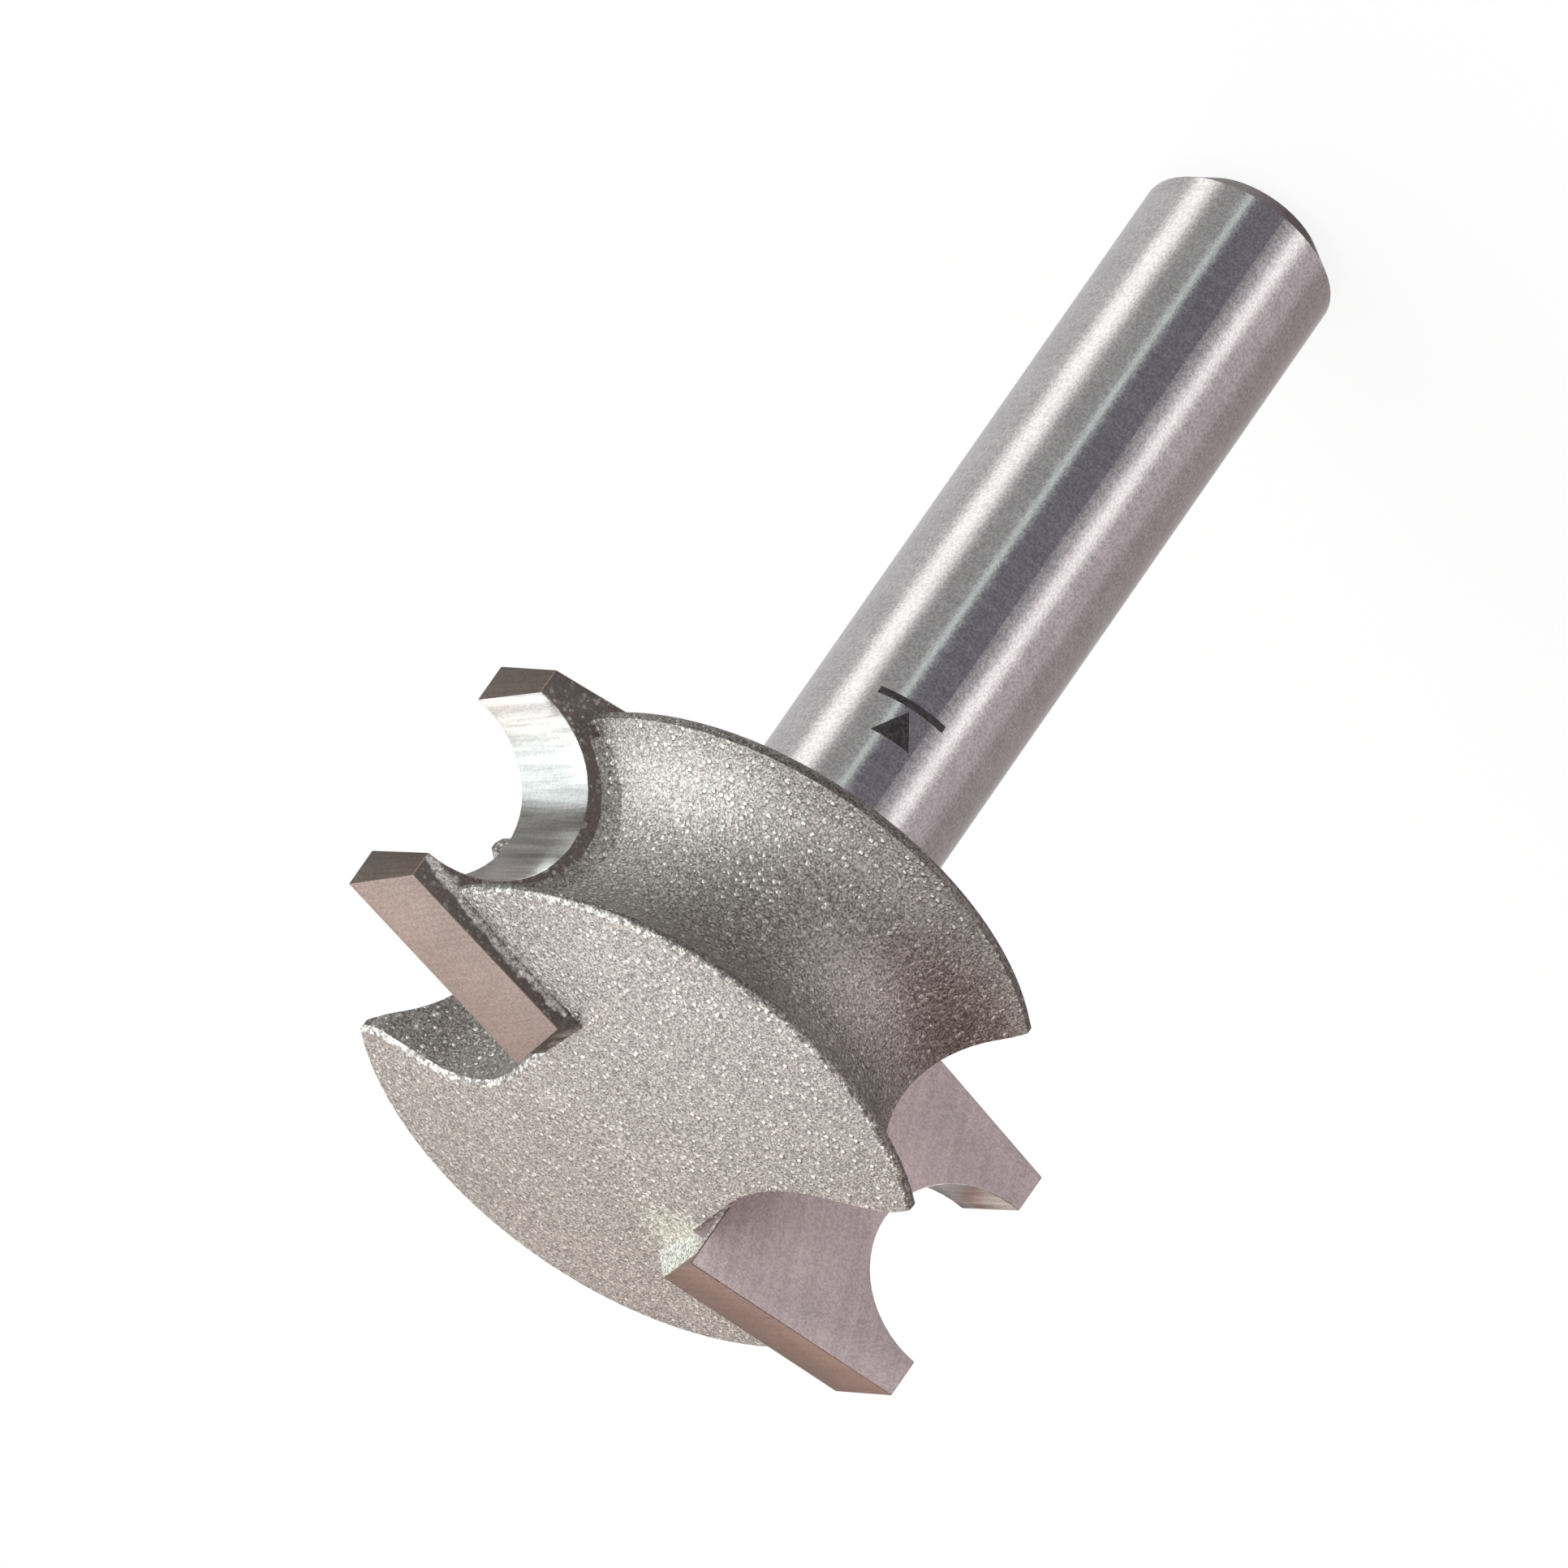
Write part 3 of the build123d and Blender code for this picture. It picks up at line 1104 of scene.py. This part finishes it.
# The floor lies this far below the shank's end
FLOOR_GAP = 0.01 * MM
FLOOR_SIDES = 96

# The lamp: what it is turned to, where it stands and how wide it is, in metres, and its colour
KEY_AIM = (0.0, 0.0, 30 * MM)
KEY_SPOT = (-0.30, 0.10, 0.26)
KEY_SIZE = 0.22
KEY_TINT = (1.0, 1.0, 0.97)

# The camera: its sensor's width in millimetres, and what it sees from and to, in metres
SENSOR_WIDTH = 36.0
CAMERA_NEAR = 0.01
CAMERA_FAR = 20.0


def room_with_panels(s, bearing, room, panels):
    """The room's colour by bearing, with each soft panel laid over those before it."""
    seen = room
    for _, middle, half_width, soft_edge, colour in panels:
        off = s.math("WRAP", s.minus(bearing, math.radians(middle)), math.pi, -math.pi)
        edge = math.radians(half_width), math.radians(half_width + soft_edge)
        seen = s.mix(s.fade(s.size(off), *edge), seen, colour)
    return seen


def studio_world(studio):
    """Walls of soft panels that the metal mirrors, behind which the camera sees plain white."""
    world = bpy.data.worlds.new("studio_walls")
    world.use_nodes = True
    s = Shader(world.node_tree)
    x, y, height = s.split(s.add("ShaderNodeTexCoord").outputs["Generated"])
    bearing = s.math("ARCTAN2", y, x)
    floor = room_with_panels(s, bearing, studio.underside, UNDER_PANELS)
    low = room_with_panels(s, bearing, LOW_ROOM, LOW_PANELS)
    middle = room_with_panels(s, bearing, MIDDLE_ROOM, MIDDLE_PANELS)
    high = room_with_panels(s, bearing, HIGH_ROOM, HIGH_PANELS)
    clear = s.math("MAXIMUM", s.ramp(height, *SKIRTING_END), s.fade(x, *NEAR_SIDE))
    skirting = s.mix(clear, studio.skirting, WHITE)
    high = s.mix(1.0, high, skirting, "MULTIPLY")
    bright = s.lighten(studio.ceiling, studio.overhead)
    ceiling = s.mix(s.ramp(x, *FAR_SIDE), bright, studio.far_ceiling)
    glow = s.mix(s.ramp(height, *UNDER_END), floor, low)
    glow = s.mix(s.ramp(height, *LOW_END), glow, middle)
    upper = s.mix(s.ramp(height, *CEILING_START), high, ceiling)
    glow = s.mix(s.ramp(height, *MIDDLE_END), glow, upper)
    wall = s.add("ShaderNodeBackground")
    s.feed(wall.inputs["Color"], glow)
    s.feed(wall.inputs["Strength"], studio.world)
    plain = s.add("ShaderNodeBackground")
    s.feed(plain.inputs["Color"], WHITE)
    rays = s.add("ShaderNodeLightPath")
    seen = s.choose(rays.outputs["Is Camera Ray"], wall.outputs[0], plain.outputs[0])
    out = s.add("ShaderNodeOutputWorld")
    s.feed(out.inputs["Surface"], seen)
    bpy.context.scene.world = world


def studio_floor(studio):
    """A pale floor that keeps a faint shadow, and that the metal doesn't mirror."""
    mesh = bmesh.new()
    lowered = Matrix.Translation((0, 0, -FLOOR_GAP))
    bmesh.ops.create_circle(
        mesh, cap_ends=True, segments=FLOOR_SIDES, radius=studio.floor_radius, matrix=lowered
    )
    floor = placed("floor", finished_mesh("floor", mesh))
    made, s = material("pale_floor")
    rays = s.add("ShaderNodeLightPath")
    matte = s.add("ShaderNodeBsdfDiffuse")
    s.feed(matte.inputs["Color"], studio.floor)
    white = s.add("ShaderNodeEmission")
    s.feed(white.inputs["Color"], WHITE)
    shaded = s.times(rays.outputs["Is Camera Ray"], 1.0 - studio.shadow)
    seen = s.choose(shaded, matte.outputs[0], white.outputs[0])
    clear = s.add("ShaderNodeBsdfTransparent")
    seen = s.choose(rays.outputs["Is Glossy Ray"], seen, clear.outputs[0])
    out = s.add("ShaderNodeOutputMaterial")
    s.feed(out.inputs["Surface"], seen)
    floor.data.materials.append(made)


def key_light(power):
    """One soft round lamp, turned to the head."""
    data = bpy.data.lights.new("key_light", "AREA")
    data.shape = "DISK"
    data.size = KEY_SIZE
    data.energy = power
    data.color = KEY_TINT
    light = placed("key_light", data)
    light.location = KEY_SPOT
    light.rotation_mode = "QUATERNION"
    light.rotation_quaternion = (Vector(KEY_AIM) - Vector(KEY_SPOT)).to_track_quat("-Z", "Y")


def studio_camera(studio):
    """The camera at the photograph's angle."""
    azimuth, elevation = studio.azimuth, studio.elevation
    out = math.cos(elevation)
    back = Vector((math.sin(azimuth) * out, -math.cos(azimuth) * out, math.sin(elevation)))
    level_up = (Vector((0, 0, 1)) - back * back.z).normalized()
    level_right = level_up.cross(back)
    up = level_up * math.cos(studio.roll) + level_right * math.sin(studio.roll)
    right = up.cross(back)
    data = bpy.data.cameras.new("photo_camera")
    data.lens = studio.lens
    data.sensor_width = SENSOR_WIDTH
    data.clip_start = CAMERA_NEAR
    data.clip_end = CAMERA_FAR
    camera = placed("photo_camera", data)
    camera.rotation_mode = "QUATERNION"
    camera.location = Vector(studio.aim) + back * studio.distance
    camera.rotation_quaternion = Matrix((right, up, back)).transposed().to_quaternion()
    bpy.context.scene.camera = camera


class ROUTERBIT_OT_stage(bpy.types.Operator):
    """Set the floor, the walls, the lamp and the camera"""

    bl_idname = "routerbit.stage"
    bl_label = "Stage"

    def execute(self, context):
        studio = context.scene.router_bit.studio
        studio_floor(studio)
        studio_world(studio)
        key_light(studio.key)
        studio_camera(studio)
        context.scene.view_settings.view_transform = "Standard"
        return {"FINISHED"}


# Panel and start


class ROUTERBIT_PT_panel(bpy.types.Panel):
    """The router bit's pieces and studio"""

    bl_idname = "ROUTERBIT_PT_panel"
    bl_label = "Router bit"
    bl_space_type = "VIEW_3D"
    bl_region_type = "UI"
    bl_category = "Router bit"

    def draw(self, context):
        settings = context.scene.router_bit
        for title, group, operator in (
            ("Cutter body", settings.steel, "routerbit.body"),
            ("Carbide tips", settings.tips, "routerbit.tips"),
            ("Brazing alloy", settings.braze, "routerbit.braze"),
            ("Depth mark", settings.mark, "routerbit.depth_mark"),
            ("Stage", settings.studio, "routerbit.stage"),
        ):
            box = self.layout.box()
            box.label(text=title)
            for name in group.__annotations__:
                box.prop(group, name)
            box.operator(operator)


CLASSES = (
    SteelSettings,
    TipSettings,
    BrazeSettings,
    MarkSettings,
    StudioSettings,
    RouterBitSettings,
    ROUTERBIT_OT_body,
    ROUTERBIT_OT_tips,
    ROUTERBIT_OT_braze,
    ROUTERBIT_OT_depth_mark,
    ROUTERBIT_OT_stage,
    ROUTERBIT_PT_panel,
)


def register():
    for each in CLASSES:
        bpy.utils.register_class(each)
    bpy.types.Scene.router_bit = PointerProperty(type=RouterBitSettings)


def unregister():
    del bpy.types.Scene.router_bit
    for each in reversed(CLASSES):
        bpy.utils.unregister_class(each)


def main():
    register()
    bpy.ops.routerbit.body()
    bpy.ops.routerbit.tips()
    bpy.ops.routerbit.braze()
    bpy.ops.routerbit.depth_mark()
    bpy.ops.routerbit.stage()


if __name__ == "__main__":
    main()
